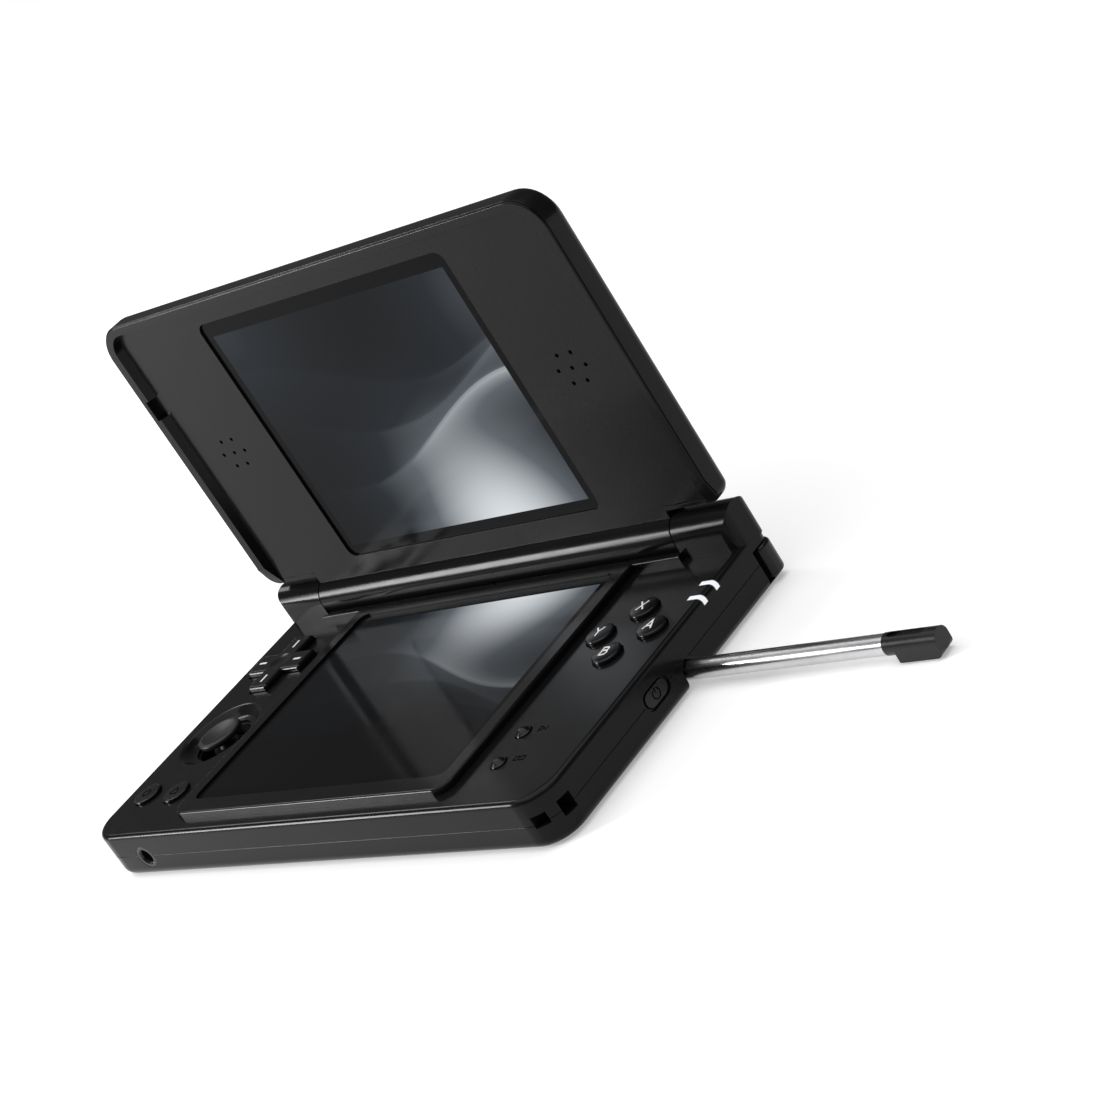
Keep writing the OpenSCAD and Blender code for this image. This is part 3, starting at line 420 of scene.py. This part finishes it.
def screen_glass(name, up_axis, picture_middle, upside_down=False, dim_low=1, dim_high=1):
    """Black glass whose window shows the picture, dimmed from dim_low to dim_high up the screen."""
    material, tree, bsdf = new_material(name)
    place = object_place(tree)
    split = tree.nodes.new("ShaderNodeSeparateXYZ")
    tree.links.new(place, split.inputs[0])
    low, high = picture_middle - PICTURE_H / 2, picture_middle + PICTURE_H / 2
    u = range_node(tree, split.outputs["X"], -PICTURE_W / 2, PICTURE_W / 2, 0, 1, clamp=False)
    v = range_node(tree, split.outputs[up_axis], low, high, 0, 1, clamp=False)
    inside = []
    for value in (u, v):
        from_middle = math_node(tree, "ABSOLUTE", math_node(tree, "SUBTRACT", value, 0.5))
        inside.append(math_node(tree, "LESS_THAN", from_middle, 0.5))
    window = math_node(tree, "MULTIPLY", *inside)
    window = math_node(tree, "MULTIPLY", window, range_node(tree, v, 0.25, 1, dim_low, dim_high))
    show = tree.nodes.new("ShaderNodeGroup")
    show.node_tree = picture
    tree.links.new(u, show.inputs["Across"])
    tree.links.new(math_node(tree, "SUBTRACT", 1, v) if upside_down else v, show.inputs["Up"])
    tree.links.new(scale_node(tree, show.outputs["Colour"], window), bsdf.inputs["Emission Color"])
    bsdf.inputs["Emission Strength"].default_value = 1
    smear = noise_node(tree, place, 60, 4)
    tree.links.new(range_node(tree, smear, 0.35, 0.7, 0.08, 0.16), bsdf.inputs["Roughness"])
    bsdf.inputs["Base Color"].default_value = GLASS_BLACK
    bsdf.inputs["Specular IOR Level"].default_value = GLASS_SPECULAR
    return material


lower_middle = middle_of("lower_screen_glass").y + LOWER_PICTURE_OFF
lower_glass = screen_glass("lower_glass", "Y", lower_middle, upside_down=True, dim_low=0.04, dim_high=0.95)
dress(lower_glass, "lower_screen_glass")
display_tray = bright_metal("display_tray", (0.16, 0.17, 0.18), rough=0.4, along="X")
dress(display_tray, "lower_display_module")


# ---------------------------------------------------------------- cross pad
# A one piece moulded cross in gloss black, rocking on a steel ball over a post of the board.
# A silicone sheet under it carries the four contact domes. Its dashes are printed white.
DASH_FROM, DASH_TO, DASH_WIDTH = 5.3, 8.0, 0.62
INK_UP, INK_DOWN = 0.025 * MM, 0.03 * MM
CROSSING_STEP = 0.002 * MM
SLIMMEST_MITRE = 0.35

key_black = moulded_plastic(
    "key_black", (0.0065, 0.0065, 0.007), rough=0.2, grain=3200, depth=0.06, specular=0.24
)
dress(key_black, "cross_pad")
steel = bright_metal("plain_steel", (0.55, 0.56, 0.57), rough=0.32)
dress(steel, "pad_ball")
grey_silicone = moulded_plastic("grey_silicone", (0.12, 0.12, 0.13), rough=0.6, grain=1200, depth=0.4)
dress(grey_silicone, "pad_membrane", "pad_post")


def top_of(name):
    low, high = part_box(name)
    return Vector(((low.x + high.x) / 2, (low.y + high.y) / 2, high.z))


def printed_ink(name, shade, rough, specular=0.3):
    material, tree, bsdf = new_material(name)
    bsdf.inputs["Specular IOR Level"].default_value = specular
    patchy = noise_node(tree, object_place(tree), 3500, 2)
    tint = scale_node(tree, (shade, shade, shade), vary(tree, patchy, 0.88, 1.06))
    tree.links.new(tint, bsdf.inputs["Base Color"])
    tree.links.new(vary(tree, patchy, rough - 0.06, rough + 0.08), bsdf.inputs["Roughness"])
    return material


def ink_strokes(name, lines, width):
    """Raised strokes of ink with mitred corners, on z = 0. A line that ends where it starts is closed."""
    shape = bmesh.new()
    for order, line in enumerate(lines):
        closed = line[0] == line[-1]
        points = [Vector(point) * MM for point in (line[:-1] if closed else line)]
        last = len(points) - 1
        up = INK_UP - order * CROSSING_STEP
        rings = []
        for i, point in enumerate(points):
            ends = [(points[i - 1], point)] if closed or i > 0 else []
            ends += [(point, points[i + 1 if i < last else 0])] if closed or i < last else []
            ways = [(end - start).normalized() for start, end in ends]
            sides = [Vector((-way.y, way.x)) for way in ways]
            middle = sum(sides, Vector((0, 0))).normalized()
            reach = middle * width * MM / 2 / max(SLIMMEST_MITRE, middle.dot(sides[0]))
            left, right = point + reach, point - reach
            corners = ((left, up), (right, up), (right, -INK_DOWN), (left, -INK_DOWN))
            rings.append([shape.verts.new((corner.x, corner.y, z)) for corner, z in corners])
        for near, far in list(zip(rings, rings[1:])) + ([(rings[-1], rings[0])] if closed else []):
            for k in range(4):
                shape.faces.new((near[k], near[(k + 1) % 4], far[(k + 1) % 4], far[k]))
        if not closed:
            shape.faces.new(rings[0][::-1])
            shape.faces.new(rings[-1])
    bmesh.ops.recalc_face_normals(shape, faces=shape.faces)
    mesh = bpy.data.meshes.new(name)
    shape.to_mesh(mesh)
    shape.free()
    return mesh


def print_on(name, lines, width, ink, at, body, facing=None):
    """Prints strokes at a place on a body. Lines and width are in millimetres, facing turns them sideways."""
    mesh = ink_strokes(name, lines, width)
    mesh.transform(Matrix.Translation(at) @ (facing or Matrix.Identity(4)))
    mesh.materials.append(ink)
    inked = bpy.data.objects.new(name, mesh)
    scene.collection.objects.link(inked)
    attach(inked, body)


white_ink = printed_ink("white_ink", shade=0.9, rough=0.5)
arms = ((1, 0), (-1, 0), (0, 1), (0, -1))
dashes = [[(x * DASH_FROM, y * DASH_FROM), (x * DASH_TO, y * DASH_TO)] for x, y in arms]
print_on("pad_dashes", dashes, DASH_WIDTH, white_ink, top_of("cross_pad"), "pad")


# ---------------------------------------------------------------- thumb stick
# A rubber coated cap with a sunk thumb rest, tilting both ways in a bowl of the top housing.
# Its ball turns in a blackened yoke and housing screwed to the board.
stick_rubber = moulded_plastic("stick_rubber", (0.009, 0.009, 0.0095), rough=0.42, grain=3000, depth=0.6)
dress(stick_rubber, "thumb_stick")
black_anodised = moulded_plastic(
    "black_anodised", (0.006, 0.006, 0.006), rough=0.45, grain=2400, depth=0.3
)
dress(black_anodised, "stick_housing", "stick_yoke")


# ---------------------------------------------------------------- letter keys
# Four round moulded keys with domed tops, each letter printed white.
# They press a silicone sheet that springs them back.
LETTER_HEIGHT = 2.9
LETTER_STROKE = 0.4
LETTERS = {
    "a": [[(-0.40, -0.5), (0, 0.5), (0.40, -0.5)], [(-0.27, -0.16), (0.27, -0.16)]],
    "b": [
        [(-0.30, -0.5), (-0.30, 0.5)],
        [(-0.30, 0.43), (0.05, 0.43), (0.19, 0.38), (0.24, 0.25), (0.19, 0.12), (0.05, 0.07), (-0.30, 0.07)],
        [(0.02, 0.07), (0.22, 0.01), (0.31, -0.18), (0.22, -0.37), (0.02, -0.43), (-0.30, -0.43)],
    ],
    "x": [[(-0.36, -0.5), (0.36, 0.5)], [(-0.36, 0.5), (0.36, -0.5)]],
    "y": [[(-0.38, 0.5), (0, 0.02), (0.38, 0.5)], [(0, 0.04), (0, -0.5)]],
}

for letter, lines in LETTERS.items():
    key = "button_" + letter
    dress(key_black, key)
    drawn = [[(x * LETTER_HEIGHT, y * LETTER_HEIGHT) for x, y in line] for line in lines]
    print_on("letter_" + letter, drawn, LETTER_STROKE, white_ink, top_of(key), "key_" + letter)
dress(grey_silicone, "keys_membrane")


# ---------------------------------------------------------------- start, select and the two menu keys
# Small moulded domes stand out of the top housing, and two flat round keys sit at the left.
# Plain signs in dark ink stand beside the domes and on the round keys.
SIGN_STROKE = 0.26
TOP_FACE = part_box("light_pipes")[1].z  # the pipes end flush with it
dress(key_black, "start_button", "select_button", "menu_button_left", "menu_button_right")
dress(grey_silicone, "menu_membrane")
dark_ink = printed_ink("dark_ink", shade=0.0015, rough=0.8, specular=0.0)


def arc(radius, start, end, steps=20):
    angles = [math.radians(start + (end - start) * i / steps) for i in range(steps + 1)]
    return [(radius * math.cos(a), radius * math.sin(a)) for a in angles]


def oblong(left, low, right, high):
    return [(left, low), (left, high), (right, high), (right, low), (left, low)]


ring_and_tick = [arc(1.1, 120, 420), [(0, 0.35), (0, 1.5)]]
house = [[(-1.0, -1.0), (-1.0, 0.15), (0, 1.2), (1.0, 0.15), (1.0, -1.0), (-1.0, -1.0)]]
triangle_and_bar = [[(-1.0, -0.75), (-1.0, 0.75), (0.5, 0), (-1.0, -0.75)], [(1.1, -0.7), (1.1, 0.7)]]
two_oblongs = [oblong(-1.5, -0.6, -0.3, 0.6), oblong(0.3, -0.6, 1.5, 0.6)]
print_on("sign_menu_left", ring_and_tick, SIGN_STROKE, dark_ink, top_of("menu_button_left"), "menu_left")
print_on("sign_menu_right", house, SIGN_STROKE, dark_ink, top_of("menu_button_right"), "menu_right")
for key, lines, right, rear in (
    ("start", triangle_and_bar, 5.2, 0.8),
    ("select", two_oblongs, 5.3, 1.1),
):
    at = top_of(key + "_button") + Vector((right, rear, 0)) * MM
    at.z = TOP_FACE
    print_on("sign_" + key, lines, SIGN_STROKE, dark_ink, at, "base")


# ---------------------------------------------------------------- power key
# A pill shaped moulded key in the right side, with the usual ring and bar in dark ink.
# It pushes a steel framed switch on the board's edge.
POWER_STROKE = 0.28
# Stands a flat drawing up in the right side, with its top up and its right to the rear.
FACES_RIGHT = Matrix(((0, 0, 1, 0), (1, 0, 0, 0), (0, 1, 0, 0), (0, 0, 0, 1)))
dress(key_black, "power_button")
switch_steel = bright_metal("switch_steel", (0.45, 0.46, 0.47), rough=0.38)
dress(switch_steel, "power_switch")
ring_and_bar = [arc(1.15, 120, 420), [(0, 0.35), (0, 1.45)]]
at = middle_of("power_button")
at.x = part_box("power_button")[1].x
print_on("sign_power", ring_and_bar, POWER_STROKE, dark_ink, at, "power", facing=FACES_RIGHT)


# ---------------------------------------------------------------- volume rocker
# A long moulded rocker in the left side, on a thin steel pin, with a plus and a minus.
# Its two ends push two switches on the board's edge.
VOLUME_STROKE = 0.3
# Stands a flat drawing up in the left side, with its top up and its right to the front.
FACES_LEFT = Matrix(((0, 0, -1, 0), (-1, 0, 0, 0), (0, 1, 0, 0), (0, 0, 0, 1)))
dress(key_black, "volume_rocker")
dress(steel, "volume_pin")
dress(switch_steel, "volume_switch")
grey_ink = printed_ink("grey_ink", shade=0.075, rough=0.5)
plus_and_minus = [[(-7.6, 0), (-6.0, 0)], [(-6.8, 0.8), (-6.8, -0.8)], [(6.0, 0), (7.6, 0)]]
at = middle_of("volume_rocker")
at.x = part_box("volume_rocker")[0].x
print_on("signs_volume", plus_and_minus, VOLUME_STROKE, grey_ink, at, "volume", facing=FACES_LEFT)


# ---------------------------------------------------------------- shoulder buttons
# Two moulded levers in the rear corners, each turning on a steel pin.
# Each bears on a small steel framed switch beside the board.
dress(key_black, "shoulder_button_left", "shoulder_button_right")
dress(steel, "shoulder_pins")
dress(switch_steel, "shoulder_switches")


# ---------------------------------------------------------------- light pipes
# Two bars of clear moulded plastic, frosted on top, bring a lamp's light from the board to the edge.
# Their middle glows with the lamp's light, and their sides are painted dark as the shade of the housing's
# walls.
PIPE_HALF = 0.9 * MM
GLOW_HALF, FADE_TO_PAINTED_SHADE = 0.62 * MM, 0.12 * MM
PIPE_GREY = (0.3, 0.3, 0.31)
LAMP_WHITE = (0.92, 0.95, 1.0)
LAMP_STRENGTH = 0.85

frosted_pipe, tree, bsdf = new_material("frosted_pipe")
place = object_place(tree)
frost = noise_node(tree, place, 1800, 3)
split = tree.nodes.new("ShaderNodeSeparateXYZ")
tree.links.new(place, split.inputs[0])
front, rear = (corner.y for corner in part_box("light_pipes"))
from_pipe = []
for middle in (front + PIPE_HALF, rear - PIPE_HALF):
    from_pipe.append(math_node(tree, "ABSOLUTE", math_node(tree, "SUBTRACT", split.outputs["Y"], middle)))
nearest = math_node(tree, "MINIMUM", *from_pipe)
# Painted shade: beside the glowing middle, the pipe's colour and glow fall to near black, standing in for the
# walls' shade.
glow = range_node(tree, nearest, GLOW_HALF, GLOW_HALF + FADE_TO_PAINTED_SHADE, 1, 0.02)
glow = math_node(tree, "MULTIPLY", glow, vary(tree, frost, 0.85, 1))
tree.links.new(scale_node(tree, PIPE_GREY, glow), bsdf.inputs["Base Color"])
tree.links.new(scale_node(tree, LAMP_WHITE, glow), bsdf.inputs["Emission Color"])
bsdf.inputs["Emission Strength"].default_value = LAMP_STRENGTH
tree.links.new(vary(tree, frost, 0.3, 0.5), bsdf.inputs["Roughness"])
dress(frosted_pipe, "light_pipes")


# ---------------------------------------------------------------- sockets
# The headphone socket is a moulded body whose ring shows in the front face.
# The rear socket is a folded steel sleeve soldered to the board's rear edge.
socket_black = moulded_plastic(
    "socket_black", (0.009, 0.009, 0.0095), rough=0.2, grain=3000, depth=0.1, specular=0.35
)
dress(socket_black, "headphone_jack")
port_steel = bright_metal("port_steel", (0.5, 0.51, 0.53), rough=0.3, along="X")
dress(port_steel, "usb_port")


# ---------------------------------------------------------------- lid
# Two moulded halves: a plain outer cover, and an inner bezel with the rim and the hinge barrel.
# They snap together around their edge, and the barrel turns between the base's knuckles.
bezel_black = moulded_plastic(
    "bezel_black", (0.0066, 0.0066, 0.007), rough=0.19, grain=3400, depth=0.05, specular=0.12
)
dress(shell_black, "lid_outer_cover")
dress(bezel_black, "lid_inner_bezel")
round_shading("lid_outer_cover", "lid_inner_bezel")


# ---------------------------------------------------------------- upper screen
# The same gloss glass as below, bonded in a pocket of the bezel over the second display.
# A small board beside it feeds the display, the speakers and the microphone.
UPPER_PICTURE_OFF = -0.55 * MM
upper_middle = middle_of("upper_screen_glass").z + UPPER_PICTURE_OFF
dress(screen_glass("upper_glass", "Z", upper_middle), "upper_screen_glass")
dress(display_tray, "upper_display_module")


# ---------------------------------------------------------------- speakers and microphone
# Two round speakers in pressed steel cans stand behind the holes of the bezel.
# The microphone is a small can behind the slot of the barrel.
dress(switch_steel, "speaker_left", "speaker_right", "microphone")


# ---------------------------------------------------------------- hinge metal and cable
# Steel pins stand in the knuckles, and brass sleeves pressed in the barrel turn on them.
# An amber film cable passes through the hollow right pin to the lid.
dress(steel, "hinge_pin_left", "hinge_pin_right")
sleeve_brass = bright_metal("sleeve_brass", (0.62, 0.46, 0.2), rough=0.3, along="X")
dress(sleeve_brass, "hinge_sleeve_left", "hinge_sleeve_right")
amber_film = moulded_plastic("amber_film", (0.3, 0.13, 0.02), rough=0.4, grain=1600, depth=0.2)
dress(amber_film, "barrel_flex", "display_cable")


# ---------------------------------------------------------------- stylus
# A drawn steel tube, ground along its length, with a pressed in black cap and a soft black tip.
# It slides in a bore of the bottom housing, and the cap's long recess gives a finger nail its hold.
ground_tube = bright_metal("ground_tube", (0.56, 0.56, 0.57), rough=0.24, along="X", streak=1400)
dress(ground_tube, "stylus_barrel")
stylus_black = moulded_plastic(
    "stylus_black", (0.007, 0.007, 0.0075), rough=0.28, grain=3000, depth=0.2
)
dress(stylus_black, "stylus_cap", "stylus_tip")
round_shading("stylus_cap")
